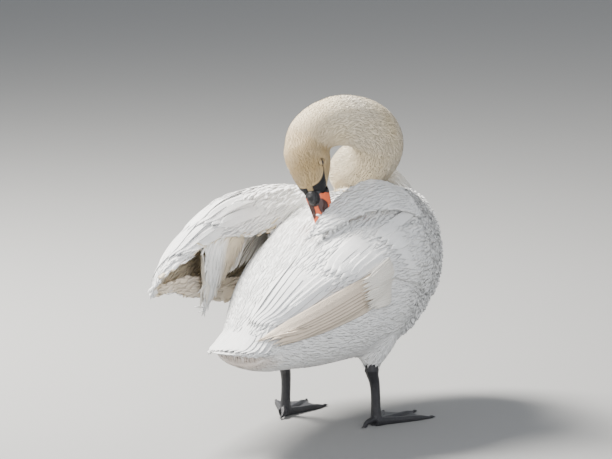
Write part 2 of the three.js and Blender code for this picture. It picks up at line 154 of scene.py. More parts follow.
EDGE_TURN, LOOSE_STRIDE = 0.25, 0.35  # where a vane runs off the skin, and its shorter steps from there
EYE_CLEAR = 0.0052  # no feather roots nearer to an eye
CURL_FROM = 0.55  # the part of a vane's length where its curl begins
BAKE_PATCH = 0.003  # the side of a vane's own square in the OFBake layout
FLIGHT_KNOTS, FLIGHT_ROWS = 8, 16  # points on a long feather's line, and rings of its vane
ROOT_DEPTH = 0.004  # how far the root of a long feather lies under the skin
FIRST_ROW_SEED = 141
CREAM_SHARE = {"white": 0.0, "pale": 0.35, "stained": 0.6}
SHORT_BARBS, LONG_BARBS = 26, 55

PLUME = dict(
    axis=None, tint="pale", slot="plumage_cream",
    stack=0.0003, rise=0.0020, off=0.0008, camber=0.35, ragged=0.2, sway=0.5, slant=0.03,
)
LONG_FEATHERS = (
    # Each row's keys are roots and tips: a y and an angle round a line, an x and a y on the tail, or places.
    dict(
        name="primaries_right", count=9, widths=(0.007, 0.009, 0.010, 0.011),
        keys=(
            ((-7.0, 3), (-27.0, 5)), ((-6.5, 9), (-31.5, 10)),
            ((-6.0, 16), (-33.0, 18)), ((-6.0, 22), (-33.2, 24)),
        ),
        tint="stained", slot="plumage_stained",
        stack=0.0007, rise=0.0008, off=0.0030, bury=7, camber=0.10, ragged=0.04, slant=0.03,
    ),
    dict(
        name="wrist_right", count=21, widths=(0.0024, 0.0030, 0.0024),
        keys=(
            ((-4.6, -2), (-11.0, 3)), ((-4.0, 3), (-13.0, 8)), ((-3.6, 9), (-14.0, 13)),
            ((-3.4, 15), (-14.0, 18)), ((-3.4, 21), (-13.5, 22)), ((-3.8, 28), (-12.0, 27)),
        ),
        tint="pale", rise=0.0014, off=0.0068, camber=0.45, ragged=0.15, sway=0.5, slant=0.3,
    ),
    dict(
        name="tertials_right", count=11, widths=(0.013,), stack=0.0002,
        keys=(
            ((-8, 24), (-27.5, 30)), ((-9, 42), (-30.5, 40)),
            ((-12, 64), (-31.5, 62)), ((-13, 90), (-30.5, 90)),
        ),
    ),
    dict(
        name="scapulars_long_right", count=8, widths=(0.0125,),
        keys=(((2, 20), (-13, 20)), ((2, 38), (-16, 34)), ((1, 52), (-17.5, 50))),
    ),
    dict(
        name="scapulars_short_right", count=8, widths=(0.0105,),
        keys=(((9, 14), (-2, 17)), ((9, 30), (-4, 30)), ((8, 44), (-5, 44))),
    ),
    dict(
        name="remiges_left", count=15, widths=(0.0115,), axis=LEFT_WING_AXIS, off=0.0004,
        keys=(
            ((-9, 250), (-24, 235)), ((-9, 190), (-29, 190)),
            ((-9, 120), (-28.5, 120)), ((-8, 52), (-24, 66)),
        ),
    ),
    dict(
        name="coverts_long_left", count=15, widths=(0.0115,), axis=LEFT_WING_AXIS, off=0.0004,
        keys=(((1, 245), (-14, 250)), ((1, 180), (-18, 180)), ((1, 100), (-19, 100)), ((2, 60), (-14, 62))),
    ),
    dict(
        name="plumes_left", count=9, widths=(0.0062,),
        keys=(
            ((-14.8, -7.0, 31.3), (-15.6, -11.4, 22.6)), ((-14.7, -10.0, 31.4), (-16.2, -13.2, 19.9)),
            ((-14.6, -14.0, 31.4), (-16.5, -14.4, 19.7)), ((-14.8, -17.5, 31.0), (-16.6, -15.8, 22.5)),
        ),
        **PLUME,
    ),
    dict(
        name="plumes_left_short", count=12, widths=(0.0055,),
        keys=(
            ((-14.0, 6.0, 30.2), (-14.4, 0.5, 26.0)), ((-14.0, 1.0, 30.8), (-14.9, -4.0, 25.0)),
            ((-14.2, -5.0, 31.2), (-15.2, -9.0, 24.5)),
        ),
        **PLUME,
    ),
    dict(
        name="rectrices", count=13, widths=(0.009, 0.011, 0.009),
        keys=(
            ((-4.4, -28.0), (-4.4, -35.6)), ((-2.8, -27.2), (-3.2, -37.6)), ((-1.4, -28.0), (-1.7, -39.0)),
            ((0.0, -28.0), (0.0, -39.5)),
            ((1.4, -28.0), (1.7, -39.0)), ((2.8, -27.2), (3.2, -37.6)), ((4.4, -28.0), (4.4, -35.6)),
        ),
        axis=TAIL_TOP, stack=0.0002, rise=0.0008, off=0.0006, bury=2.6, camber=0.10, slant=0.0,
    ),
)

# The camera's aim and the lights, in metres to the right, upwards and back from the bird.
AIM_RIGHT, AIM_UP = -0.0417, 0.3175
LIT_HEIGHT = 27
LAMPS = (
    # name, place, watts, size, colour
    ("key", (-1.5, 2.3, -0.4), 470, 1.0, (1.0, 0.97, 0.92)),
    ("fill", (0.6, 0.5, 3.0), 90, 2.6, (0.95, 0.96, 1.0)),
)
SKY, SKY_STRENGTH = (0.80, 0.84, 0.90, 1), 0.68
FLOOR_SIZE, SENSOR_WIDTH, FAR_CLIP = 60, 36, 200

WHOLE_TURN = 6.28
WAVE_HEIGHT = 2.08  # the most that four waves add up to

field = {}  # what the skin's operator leaves for the others: its points and the lie of its feathers


def on_bird(points):
    """The bird's own centimetres, as metres in the frame."""
    return ORIGIN + np.asarray(points, float) / 100


def bird_cm(points):
    """Metres in the frame, as the bird's own centimetres."""
    return (np.asarray(points, float) - ORIGIN) * 100


def unit(v):
    v = np.asarray(v, float)
    return v / np.maximum(np.linalg.norm(v, axis=-1, keepdims=True), 1e-12)


def fade(low, high, x):
    """0 at low and beyond, 1 at high and beyond, and a soft slope between."""
    t = np.clip((x - low) / (high - low), 0, 1)
    return t * t * (3 - 2 * t)


def mix(a, b, share):
    share = np.asarray(share, float)[..., None]
    return np.asarray(a) * (1 - share) + np.asarray(b) * share


forward = unit(HEAD_FORWARD)
rightward = unit(np.cross(forward, CROWN_HINT))
crownward = unit(np.cross(rightward, forward))


def on_head(along, aside, above):
    """A place given along the skull, to its right and towards its crown, in centimetres."""
    return on_bird(np.array(HEAD_CENTRE) + along * forward + aside * rightward + above * crownward)


def head_cm(points):
    """Along, aside and above for places in the frame."""
    away = bird_cm(points) - np.array(HEAD_CENTRE)
    return away @ forward, away @ rightward, away @ crownward


def eye_centre(side):
    return on_head(EYE_ALONG, side * EYE_ASIDE, EYE_ABOVE)


def waves(points, scale, seed):
    """A smooth, repeatable wander between -1 and 1 over space."""
    rng = np.random.default_rng(seed)
    total = np.zeros(len(points))
    for octave in range(4):
        way = unit(rng.normal(size=3)) * scale * 1.7**octave
        other = unit(rng.normal(size=3)) * scale * 1.7**octave
        ripple = np.sin(points @ way + rng.uniform(0, WHOLE_TURN))
        ripple *= np.cos(points @ other + rng.uniform(0, WHOLE_TURN))
        total += ripple / (octave + 1)
    return total / WAVE_HEIGHT


# ---- settings


def metres(name, description, default):
    return bpy.props.FloatProperty(name=name, description=description, default=default, unit="LENGTH")


def degrees(name, description, default):
    return bpy.props.FloatProperty(
        name=name, description=description, default=math.radians(default), subtype="ANGLE"
    )


def colour(name, description, default):
    return bpy.props.FloatVectorProperty(
        name=name, description=description, default=default, size=3, subtype="COLOR"
    )


class SwanCoat(bpy.types.PropertyGroup):
    head_gap: metres("Head gap", "Between feather roots on the head", 0.0020)
    neck_gap: metres("Neck gap", "Between feather roots on the neck", 0.0025)
    body_gap: metres("Body gap", "Between feather roots on the body", 0.0054)
    wing_gap: metres("Wing gap", "Between feather roots on the wings", 0.0060)
    voxel: metres("Skin grain", "Edge of the skin's squares", 0.0042)


class SwanColours(bpy.types.PropertyGroup):
    white: colour("White", "Clean feathers", (0.84, 0.84, 0.825))
    cream: colour("Cream", "Neck feathers", (0.70, 0.59, 0.385))
    ochre: colour("Ochre", "Water stain on the head", (0.42, 0.28, 0.115))
    buff: colour("Buff", "Stain on the flight feathers", (0.56, 0.41, 0.30))
    black: colour("Black skin", "Face, knob and legs", (0.007, 0.007, 0.008))
    orange: colour("Bill", "Bill sheath", (0.72, 0.135, 0.045))


class SwanStage(bpy.types.PropertyGroup):
    azimuth: degrees("Azimuth", "Camera's turn round the bird", 26)
    elevation: degrees("Elevation", "Camera's height over the horizon", 10)
    distance: metres("Distance", "Camera to bird", 7.0)
    view_width: metres("View width", "Width seen at the bird", 1.02)
    floor: colour("Floor", "Floor and backdrop", (0.27, 0.27, 0.265))


def palette(*names):
    """The swan's colours of those names."""
    return [np.array(getattr(bpy.context.scene.swan_colours, name)) for name in names]


# ---- small mesh tools


def only(obj):
    bpy.ops.object.select_all(action="DESELECT")
    obj.select_set(True)
    bpy.context.view_layer.objects.active = obj


@contextlib.contextmanager
def editing(obj, whole=True):
    """Edit mode on one object, with all of its mesh selected if whole."""
    only(obj)
    bpy.ops.object.mode_set(mode="EDIT")
    if whole:
        bpy.ops.mesh.select_all(action="SELECT")
    yield
    bpy.ops.object.mode_set(mode="OBJECT")


def apply_transform():
    bpy.ops.object.transform_apply(location=True, rotation=True, scale=True)


def copy_nodes(names, name):
    """One new object holding merged copies of CAD nodes."""
    bpy.ops.object.select_all(action="DESELECT")
    for node in names:
        frame["nodes"][node].select_set(True)
    bpy.context.view_layer.objects.active = frame["nodes"][names[0]]
    bpy.ops.object.duplicate()
    bpy.ops.object.parent_clear(type="CLEAR_KEEP_TRANSFORM")
    if len(names) > 1:
        bpy.ops.object.join()
    obj = bpy.context.view_layer.objects.active
    obj.name = name
    obj.data.name = name
    apply_transform()
    with editing(obj):
        bpy.ops.mesh.remove_doubles(threshold=1e-5)
    obj.data.materials.clear()
    return obj


def remesh(obj, size, smooth_steps):
    only(obj)
    obj.data.remesh_voxel_size = size
    bpy.ops.object.voxel_remesh()
    even = obj.modifiers.new("Even", "SMOOTH")
    even.factor = 0.5
    even.iterations = smooth_steps
    bpy.ops.object.modifier_apply(modifier=even.name)
    obj.data.shade_smooth()


def sphere(name, centre, radius, segments, rings, rotation=(0, 0, 0)):
    bpy.ops.mesh.primitive_uv_sphere_add(
        segments=segments, ring_count=rings, radius=radius, location=centre, rotation=rotation
    )
    obj = bpy.context.object
    obj.name = name
    apply_transform()
    obj.data.shade_smooth()
    return obj


def read(items, key, width, kind=float):
    """One property of a mesh's points, edges or triangles, with a row for each."""
    values = np.empty(len(items) * width, kind)
    items.foreach_get(key, values)
    return values.reshape(-1, width)


def places(mesh):
    return read(mesh.vertices, "co", 3)


def normals(mesh):
    return read(mesh.vertices, "normal", 3)


def set_places(mesh, co):
    mesh.vertices.foreach_set("co", np.asarray(co, float).ravel())
    mesh.update()


def triangles(mesh):
    """The points and the loops of each triangle."""
    mesh.calc_loop_triangles()
    return read(mesh.loop_triangles, "vertices", 3, int), read(mesh.loop_triangles, "loops", 3, int)


def paint(mesh, colours):
    layer = mesh.color_attributes.new("tint", "FLOAT_COLOR", "POINT")
    full = np.ones((len(mesh.vertices), 4))
    full[:, :3] = np.clip(colours, 0, 1)
    layer.data.foreach_set("color", full.ravel())


def hand_in(obj, material, slot, *replaced):
    """Gives a finished piece its material, hangs it on the root body and hides the nodes it replaces. Its
    slot is not used.
    """
    obj.data.materials.append(material)
    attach(obj, "root")
    if replaced:
        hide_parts(*replaced)


def point_tree(co):
    tree = KDTree(len(co))
    for i, place in enumerate(co):
        tree.insert(place, i)
    tree.balance()
    return tree


def with_neighbours(ends, values):
    """Each point's numbers added to those of its neighbours. ends are the two points of every edge."""
    a, b = ends
    sums = [own + np.bincount(a, own[b], len(own)) + np.bincount(b, own[a], len(own)) for own in values.T]
    return np.stack(sums, 1)


def eased(mesh, values, steps):
    """Averages numbers over neighbouring points."""
    ends = read(mesh.edges, "vertices", 2, int).T
    count = with_neighbours(ends, np.ones((len(values), 1)))
    for _ in range(steps):
        values = with_neighbours(ends, values) / count
    return values


def eased_ways(mesh, ways, normal, steps):
    """Averages directions over neighbouring points, keeping them along the skin."""
    ends = read(mesh.edges, "vertices", 2, int).T
    for _ in range(steps):
        total = with_neighbours(ends, ways)
        ways = unit(total - (total * normal).sum(1, keepdims=True) * normal)
    return ways


# ---- markings


def belongs(node, *names):
    """True where a node's index is that of one of the names."""
    return np.isin(node, [NODES.index(name) for name in names])


def neck_share(points):
    """How far along the neck each place is, from 0 at the breast to 1 at the skull, and the way there."""
    route = on_bird(NECK_ROUTE)
    best = np.full(len(points), np.inf)
    share = np.zeros(len(points))
    way = np.zeros((len(points), 3))
    for i in range(len(route) - 1):
        step = route[i + 1] - route[i]
        t = np.clip((points - route[i]) @ step / (step @ step), 0, 1)
        gap = np.linalg.norm(points - route[i] - t[:, None] * step, axis=1)
        near = gap < best
        best[near] = gap[near]
        share[near] = ((i + t) / (len(route) - 1))[near]
        way[near] = unit(step)
    return share, way


def bare_face(points):
    """1 on the black skin of the lores and round the bill, 0 on feathers."""
    along, aside, above = head_cm(points)
    side = np.abs(aside)
    reach = np.clip((along - EYE_ALONG) / 3.6, 0, 1)
    middle = EYE_ABOVE - 0.35 * reach
    half = 0.09 + 1.15 * reach**3.2
    lores = fade(0.12, -0.12, np.abs(above - middle) - half) * fade(3.2, 3.5, along)
    lores *= fade(0.75, 1.05, side + 0.45 * reach**3)
    end = np.where(above > 0, FOREHEAD_END - 0.9 * np.clip(side / 1.6, 0, 1) ** 1.5, CHIN_END)
    base = fade(end - 0.12, end + 0.12, along)
    by_face = (side < 3.4) & (above > -3.3) & (along < 8.6)
    return np.clip(np.maximum(lores, base), 0, 1) * by_face


def left_hollow(points):
    """1 on the inner side of the loose wing."""
    out = np.zeros(len(points))
    for i, point in enumerate(points):
        x, y, _ = bird_cm(point)
        if x > HOLLOW_SIDE or not HOLLOW_REAR <= y <= HOLLOW_FRONT:
            continue
        nearest = field["tree"].find(point)[1]
        away = field["co"][nearest] - on_bird((HOLLOW_X, y, HOLLOW_Z))
        out[i] = field["normal"][nearest] @ away < 0
    return out


def markings(points, node):
    """The plumage's colour at each place. node is the index of the CAD node that each place belongs to."""
    white, cream, ochre, buff = palette("white", "cream", "ochre", "buff")
    _, y, z = bird_cm(points).T
    along, _, _ = head_cm(points)
    share, _ = neck_share(points)
    on_neck = belongs(node, *NECK_NODES)
    on_skull = belongs(node, "head")
    wander = waves(points, 55, 3)
    fine = waves(points, 190, 4)
    creamy = np.where(on_neck, fade(0.10, 0.36, share), 0) * (0.78 + 0.22 * wander)
    tint = mix(white, cream, np.where(on_skull, 0.9, creamy))
    head_stain = 0.60 + 0.32 * fade(-2.5, 3.5, along) + 0.16 * wander
    neck_stain = 0.16 * fade(0.25, 0.4, share) + 0.46 * fade(0.84, 1.0, share)
    neck_stain += 0.22 * fade(0.5, 0.3, share) * fade(0.22, 0.3, share)
    stain = np.where(on_neck, neck_stain, np.where(on_skull, head_stain, 0))
    tint = mix(tint, ochre, np.clip(stain * (0.85 + 0.15 * fine), 0, 0.95))
    hollow = left_hollow(points) * belongs(node, "wing_left")
    layers = (
        # Under the tail, the tail's rim, painted shade inside the loose wing, on its plumes by the body and
        # on its primaries (a darker cream and buff), and the belly.
        (buff, 0.55 * fade(-26, -33, y) * fade(17.8, 15.5, z) * belongs(node, "trunk", "tail")),
        (ochre, 0.5 * fade(-35, -39.5, y) * fade(18.6, 17.6, z) * belongs(node, "tail")),
        (0.85 * cream + 0.15 * buff, (0.85 + 0.15 * wander) * hollow),
        (0.7 * cream + 0.2 * buff, 0.85 * fade(-12.5, -9.5, y) * belongs(node, "wing_left_axillars")),
        (0.6 * cream + 0.4 * buff, (0.75 + 0.2 * wander) * belongs(node, "wing_left_primaries")),
        (buff, 0.16 * fade(15, 10.5, z) * belongs(node, "trunk")),
    )
    for layer, amount in layers:
        tint = mix(tint, layer, np.clip(amount, 0, 1))
    return np.clip(tint * (1 + 0.035 * fine[:, None]), 0, 1)


def lie_of(points, node):
    """The way feathers point at each place, before it is laid along the skin."""
    x, y, z = bird_cm(points).T
    down = fade(14, 27, y)
    rump = 0.25 * fade(24, 14, z) * fade(-15, -30, y)
    way = np.stack([0 * y, -1 + 0.85 * down, rump - down], 1)
    lies = (
        (NECK_NODES, -neck_share(points)[1].T),
        (("head",), -forward),
        (("wing_right",), (0, -1, -0.10 - 0.25 * fade(12, 24, y))),
        (("wing_right_primaries", "wing_left_primaries"), (0, -1, 0)),
        (("wing_right_scapulars",), (-0.42, -0.86, -0.30)),
        (("wing_left",), (-0.03, -1, -0.22 + 0.3 * fade(0, -20, y) * (z > 29))),
        (("wing_left_axillars",), (-0.1, -0.1, -1)),
        (("thigh_left", "thigh_right"), (0, -0.35, -1)),
        (("tail",), (0.02 * x, -1, 0)),
    )
    for names, lie in lies:
        where = belongs(node, *names)
        for k in range(3):
            way[where, k] = np.broadcast_to(lie[k], len(points))[where]
    return unit(way)


def node_of_triangles(tri, co):
    """The node that each triangle of the joined copy came from."""
    trees = []
    for name in NODES:
        node = frame["nodes"][name]
        matrix = np.array(node.matrix_world)
        trees.append(point_tree(places(node.data) @ matrix[:3, :3].T + matrix[:3, 3]))
    near = np.array([[tree.find(place)[2] for tree in trees] for place in co])
    return near[tri].sum(1).argmin(1)


def keep_largest(obj):
    with editing(obj):
        bpy.ops.mesh.separate(type="LOOSE")
    *small, largest = sorted(bpy.context.selected_objects, key=lambda o: len(o.data.vertices))
    for part in small:
        bpy.data.objects.remove(part)
    if largest != obj:
        raise RuntimeError("the skin's largest part is a new object")


def refine_face(obj):
    """Smaller squares round the eyes, the lores and the bill's base."""
    for reach in (0.070, 0.052):
        mesh = obj.data
        co = places(mesh)
        near = (head_cm(co)[0] > 1.4) & (np.linalg.norm(co - on_head(5.0, 0, 0), axis=1) < reach)
        mesh.vertices.foreach_set("select", near)
        mesh.edges.foreach_set("select", near[read(mesh.edges, "vertices", 2, int)].all(1))
        mesh.polygons.foreach_set("select", np.zeros(len(mesh.polygons), bool))
        with editing(obj, whole=False):
            bpy.ops.mesh.select_mode(type="VERT")
            bpy.ops.mesh.subdivide(number_cuts=1, smoothness=0.6)


def sunk(mesh, co, node):
    """The skin's points, moved in by the depth of the coat over them."""
    normal = normals(mesh)
    depth = eased(mesh, np.array(list(FLESH.values()))[node][:, None], 20)
    co = co - normal * (depth * (1 - bare_face(co)[:, None]))
    skull_joint = fade(0.80, 0.90, neck_share(co)[0]) * fade(0.5, -1.5, head_cm(co)[0])
    co = co + (eased(mesh, co, 40) - co) * skull_joint[:, None]
    for side in (-1, 1):
        away = np.linalg.norm(co - eye_centre(side), axis=1)
        co = co - normal * (SOCKET_DEPTH * fade(0.0070, 0.0045, away)[:, None])
    under_bill = 0.0018 * fade(6.5, 7.1, head_cm(co)[0]) * bare_face(co)
    return co - normal * under_bill[:, None]


class SWAN_OT_skin(bpy.types.Operator):
    """Makes the one skin that lies under all the feathers"""

    bl_idname = "swan.skin"
    bl_label = "Skin"

    def execute(self, context):
        skin = copy_nodes(NODES, "plumage_skin")
        solid_co = places(skin.data)
        solid_tri, _ = triangles(skin.data)
        origin = node_of_triangles(solid_tri, solid_co)
        solid = BVHTree.FromPolygons(solid_co.tolist(), solid_tri.tolist())
        remesh(skin, context.scene.swan_coat.voxel, SKIN_EASE)
        keep_largest(skin)
        refine_face(skin)
        mesh = skin.data
        co = places(mesh)
        node = np.array([origin[solid.find_nearest(place)[2]] for place in co])
        co = sunk(mesh, co, node)
        set_places(mesh, co)
        tri, loops = triangles(mesh)
        with editing(skin):
            bpy.ops.uv.smart_project(angle_limit=math.radians(66), island_margin=0.002)
        mesh.uv_layers[0].name = "OFBake"
        field.update(
            co=co,
            normal=normals(mesh),
            lie=eased_ways(mesh, lie_of(co, node), normals(mesh), 10),
            node=node,
            tri=tri,
            uv=read(mesh.uv_layers[0].data, "uv", 2)[loops],
            tree=point_tree(co),
            surface=BVHTree.FromPolygons(co.tolist(), tri.tolist()),
        )
        # The skin is painted at 93% of the feathers' colour, as painted shade where it shows between them.
        # The bare face is black.
        paint(mesh, mix(markings(co, node) * 0.93, *palette("black"), bare_face(co)))
        mesh.shade_smooth()
        hand_in(skin, plumage_material("skin_under_feathers", 0.0, 0.0), "plumage_white", *NODES)
        return {"FINISHED"}


# ---- feathers


def close_pairs(point, gap):
    """Every two places less than a gap apart, the lower index first, found through a grid of cells."""
    cell = np.floor((point - point.min(0)) / gap).astype(np.int64) + 1
    span = cell.max(0) + 2
    per_cell = np.array((span[1] * span[2], span[2], 1))
    key = cell @ per_cell
    order = np.argsort(key, kind="stable")
    pairs = []
    for step in itertools.product((-1, 0, 1), repeat=3):
        first, last = (np.searchsorted(key[order], key + step @ per_cell, end) for end in ("left", "right"))
        many = last - first
        a = np.repeat(np.arange(len(point)), many)
        start = np.repeat(first - np.concatenate([[0], np.cumsum(many)[:-1]]), many)
        b = order[start + np.arange(len(a))]
        near = (a < b) & (((point[a] - point[b]) ** 2).sum(1) < gap**2)
        pairs.append((a[near], b[near]))
    return np.concatenate(pairs, axis=1)


def scatter(gap, keep, seed):
    """Roots over the skin, no two closer than a gap. keep is each triangle's weight, 0 to leave it bare."""
    rng = np.random.default_rng(seed)
    corners = field["co"][field["tri"]]
    sides = np.cross(corners[:, 1] - corners[:, 0], corners[:, 2] - corners[:, 0])
    weight = np.linalg.norm(sides, axis=1) / 2 * keep
    count = int(ROOT_TRIES * weight.sum() / gap**2)
    face = rng.choice(len(weight), count, p=weight / weight.sum())
    u, v = rng.random((2, count))
    flip = u + v > 1
    u[flip], v[flip] = 1 - u[flip], 1 - v[flip]
    share = np.stack([1 - u - v, u, v], 1)
    point = (corners[face] * share[:, :, None]).sum(1)
    a, b = close_pairs(point, gap)
    is_open, kept = np.ones(count, bool), np.zeros(count, bool)
    while is_open.any():
        live = is_open[a] & is_open[b]
        a, b = a[live], b[live]
        won = is_open.copy()
        won[b] = False
        kept |= won
        is_open &= ~won
        is_open[b[won[a]]] = False
    return point[kept], face[kept], share[kept]


def trace(point, face, length, steps, turn):
    """Follows the lie over the skin from each root, and runs straight on past an edge."""
    lie = unit(field["lie"][field["tri"]].mean(1))
    normal = unit(field["normal"][field["tri"]].mean(1))
    path = np.empty((len(point), steps + 1, 3))
    up = np.empty_like(path)

    def along_skin(way, above):
        way = way - (way @ above) * above
        return way / (np.linalg.norm(way) + 1e-9)

    for i in range(len(point)):
        here, at = point[i], face[i]
        stride = length[i] / steps
        first = above = normal[at]
        path[i, 0], up[i, 0] = here, above
        way = along_skin(lie[at] + turn[i], above)
        loose = False
        for k in range(1, steps + 1):
            ahead = here + way * stride * (LOOSE_STRIDE if loose else 1.0)
            if not loose:
                place, _, at, _ = field["surface"].find_nearest(ahead)
                loose = normal[at] @ first < EDGE_TURN
            if not loose:
                ahead = np.array(place)
                above = normal[at]
                way = along_skin(way + lie[at] + turn[i], above)
            here = ahead
            path[i, k], up[i, k] = here, above
    return path, up


def vane_faces(count, rows, around):
    """The corners of every face, and where each face starts: walls between rings, and a cap at each end."""
    ring_at = np.arange(rows - 1)[:, None] * around
    i = np.arange(around)[None]
    j = (i + 1) % around
    walls = np.stack([ring_at + i, ring_at + j, ring_at + around + j, ring_at + around + i], -1)
    caps = np.stack([np.arange(around)[::-1], (rows - 1) * around + np.arange(around)])
    first = np.arange(count)[:, None, None] * rows * around
    walls = (walls.reshape(-1, 4)[None] + first).reshape(-1, 4)
    caps = (caps[None] + first).reshape(-1, around)
    starts = np.concatenate([np.arange(len(walls)) * 4, len(walls) * 4 + np.arange(len(caps)) * around])
    return np.concatenate([walls.ravel(), caps.ravel()]), starts


def grow(
    name, path, up, uv, tint, width, rise, curl, seed, rows, ring, outline,
    camber=0.18, thick=0.0003, ragged=0.12, dip=0.0005, sway=0.12, slant=0.25,
):
    """One mesh of closed, thin vanes. Each follows its path, and its tip stands off the skin by rise."""
    rng = np.random.default_rng(seed)
    n, knots = path.shape[:2]
    t = np.linspace(0, 1, rows)
    if rows > 4:
        t = t**0.92
    spot = t * (knots - 1)
    low = np.minimum(spot.astype(int), knots - 2)
    part = (spot - low)[None, :, None]
    spine = path[:, low] * (1 - part) + path[:, low + 1] * part
    lift = unit(up[:, low] * (1 - part) + up[:, low + 1] * part)
    way = unit(np.gradient(spine, axis=1))
    sideward = unit(np.cross(way, lift))
    profile = np.interp(t, outline[:, 0], outline[:, 1])
    half = width[:, None] * profile[None] * (1 + ragged * (rng.random((n, rows)) - 0.5))
    tip_curl = np.clip((t[None] - CURL_FROM) / (1 - CURL_FROM), 0, 1) ** 2
    height = -dip + (rise[:, None] + dip) * t[None] ** 1.2 + curl[:, None] * tip_curl
    swing = (rng.random((n, 1)) - 0.5) * sway * width[:, None] * 4 * t[None] ** 2
    lean = slant * (rng.random((n, 1, 1)) - 0.5)
    across, out = np.array(ring, float).T[:, None, None]
    side = across * half[:, :, None]
    swell = out * (camber * half[:, :, None]) + lean * side
    swell = swell - thick * (out < 0.35) * (np.abs(across) < 0.9)
    length = np.linalg.norm(path[:, -1] - path[:, 0], axis=1)[:, None, None]
    frill = 0.10 * across**2 * t[None, :, None] ** 3 * length
    co = spine[:, :, None] + sideward[:, :, None] * (side + swing[:, :, None])[..., None]
    co = co + lift[:, :, None] * (height[:, :, None] + swell)[..., None] - way[:, :, None] * frill[..., None]
    corners, starts = vane_faces(n, rows, len(ring))
    mesh = bpy.data.meshes.new(name)
    mesh.vertices.add(n * rows * len(ring))
    mesh.vertices.foreach_set("co", co.ravel())
    mesh.loops.add(len(corners))
    mesh.loops.foreach_set("vertex_index", corners)
    mesh.polygons.add(len(starts))
    mesh.polygons.foreach_set("loop_start", starts)
    mesh.update(calc_edges=True)
    along = np.broadcast_to(t[None, :, None], half.shape + (len(ring),))
    vane = np.stack([np.broadcast_to(across * 0.5 + 0.5, along.shape), along], -1)
    patch = uv[:, None, None] + BAKE_PATCH * (vane - 0.5)
    mesh.uv_layers.new(name="OFBake").data.foreach_set("uv", patch.reshape(-1, 2)[corners].ravel())
    mesh.uv_layers.new(name="vane").data.foreach_set("uv", vane.reshape(-1, 2)[corners].ravel())
    own = 1 + 0.07 * (rng.random((n, 1, 1, 1)) - 0.5)
    # Each vane is painted up to a tenth darker towards its root: painted shade where the vanes over it cover
    # it.
    shade = tint[:, None, None] * own * (0.90 + 0.10 * along[..., None] ** 0.5)
    paint(mesh, shade.reshape(-1, 3))
    mesh.shade_smooth()
    obj = bpy.data.objects.new(name, mesh)
    bpy.context.scene.collection.objects.link(obj)
    return obj


def clear_of_bare(point):
    """True where a feather may root: off the bare face and the eyes."""
    free = bare_face(point) < 0.4
    for side in (-1, 1):
        free &= np.linalg.norm(point - eye_centre(side) + 0.0010 * crownward, axis=1) > EYE_CLEAR
    return free


def ruffled(point):
    """1 over the breast and shoulders, where the feather tips curl, fading to 0 over the back."""
    x, y, z = bird_cm(point).T
    return fade(1, 11, y + 0.25 * (27 - z)) * fade(-30, -5, x + y)


def nape(point):
    """1 by the skull, fading to 0 down the neck."""
    return fade(0.80, 0.96, neck_share(point)[0])


def slab(low, high):
    """A test for places whose y on the bird is over low and not over high."""

    def inside(point):
        y = bird_cm(point)[:, 1]
        return (y > low) & (y <= high)

    return inside


def coat_piece(
    name, nodes, gap, seed, length, width, rise, curl=0.0, kind=ruffled, where=None,
    slot="plumage_white", steps=4, stray=0.18, rows=5, ring=FULL_RING, outline=LANCE_OUTLINE, **vane,
):
    """Short feathers scattered over nodes. A size is one number, or a plain one and its change by kind."""
    keep = (belongs(field["node"][field["tri"]], *nodes).sum(1) >= 2).astype(float)
    if where is not None:
        keep = keep * where(field["co"][field["tri"]].mean(1))
    point, face, share = scatter(gap, keep, seed)
    free = clear_of_bare(point)
    point, face, share = point[free], face[free], share[free]
    rng = np.random.default_rng(seed + 1)
    n = len(point)
    much = kind(point)

    def sized(size):
        plain, change = size if isinstance(size, tuple) else (size, 0)
        return plain + change * much

    long = sized(length) * (0.85 + 0.3 * rng.random(n))
    turn = unit(rng.normal(size=(n, 3))) * stray
    wide = sized(width) * (0.88 + 0.24 * rng.random(n))
    curled = sized(curl) * rng.random(n)
    path, up = trace(point, face, long, steps, turn)
    uv = (field["uv"][face] * share[:, :, None]).sum(1)
    tint = markings(point, field["node"][field["tri"][face, 0]])
    obj = grow(name, path, up, uv, tint, wide, sized(rise), curled, seed + 2, rows, ring, outline, **vane)
    hand_in(obj, plumage_material("feathers_" + name, SHORT_BARBS), slot)


class SWAN_OT_head_feathers(bpy.types.Operator):
    """Grows the short feathers of the head and the neck"""

    bl_idname = "swan.head_feathers"
    bl_label = "Head and neck feathers"

    def execute(self, context):
        coat = context.scene.swan_coat
        small = dict(slot="plumage_cream", steps=2, rows=4, ring=THIN_RING, thick=0.00015, camber=0.12)
        coat_piece("head_feathers", ["head"], coat.head_gap, 11, 0.0070, 0.0011, 0.0004, dip=0.0003, **small)
        sizes = dict(length=(0.0125, -0.005), width=(0.0013, -0.0002), rise=(0.0006, -0.0002), curl=0.0002)
        for part, seed in (("upper", 21), ("middle", 31), ("base", 41)):
            name, node = "neck_feathers_" + part, "neck_" + part
            coat_piece(name, [node], coat.neck_gap, seed, kind=nape, stray=0.14, **sizes, **small)
        return {"FINISHED"}


class SWAN_OT_body_feathers(bpy.types.Operator):
    """Grows the contour feathers of the body and thighs"""

    bl_idname = "swan.body_feathers"
    bl_label = "Body feathers"

    def execute(self, context):
        gap = context.scene.swan_coat.body_gap
        sizes = dict(length=(0.024, -0.006), width=(0.0031, 0.0022), rise=(0.0007, 0.0013), curl=(0, 0.0034))
        for part, seed, where, outline, camber in (
            ("front", 51, slab(6, np.inf), FEATHER_OUTLINE, 0.28),
            ("middle", 61, slab(-14, 6), LANCE_OUTLINE, 0.14),
            ("rear", 71, slab(-np.inf, -14), LANCE_OUTLINE, 0.14),
        ):
            vane = dict(outline=outline, camber=camber)
            coat_piece("body_feathers_" + part, ["trunk"], gap, seed, where=where, steps=3, **sizes, **vane)
        thighs = ["thigh_left", "thigh_right"]
        small = dict(steps=2, rows=4, ring=THIN_RING, camber=0.3)
        coat_piece("thigh_feathers", thighs, 0.0042, 81, 0.014, 0.0022, 0.0012, 0.0006, **small)
        return {"FINISHED"}


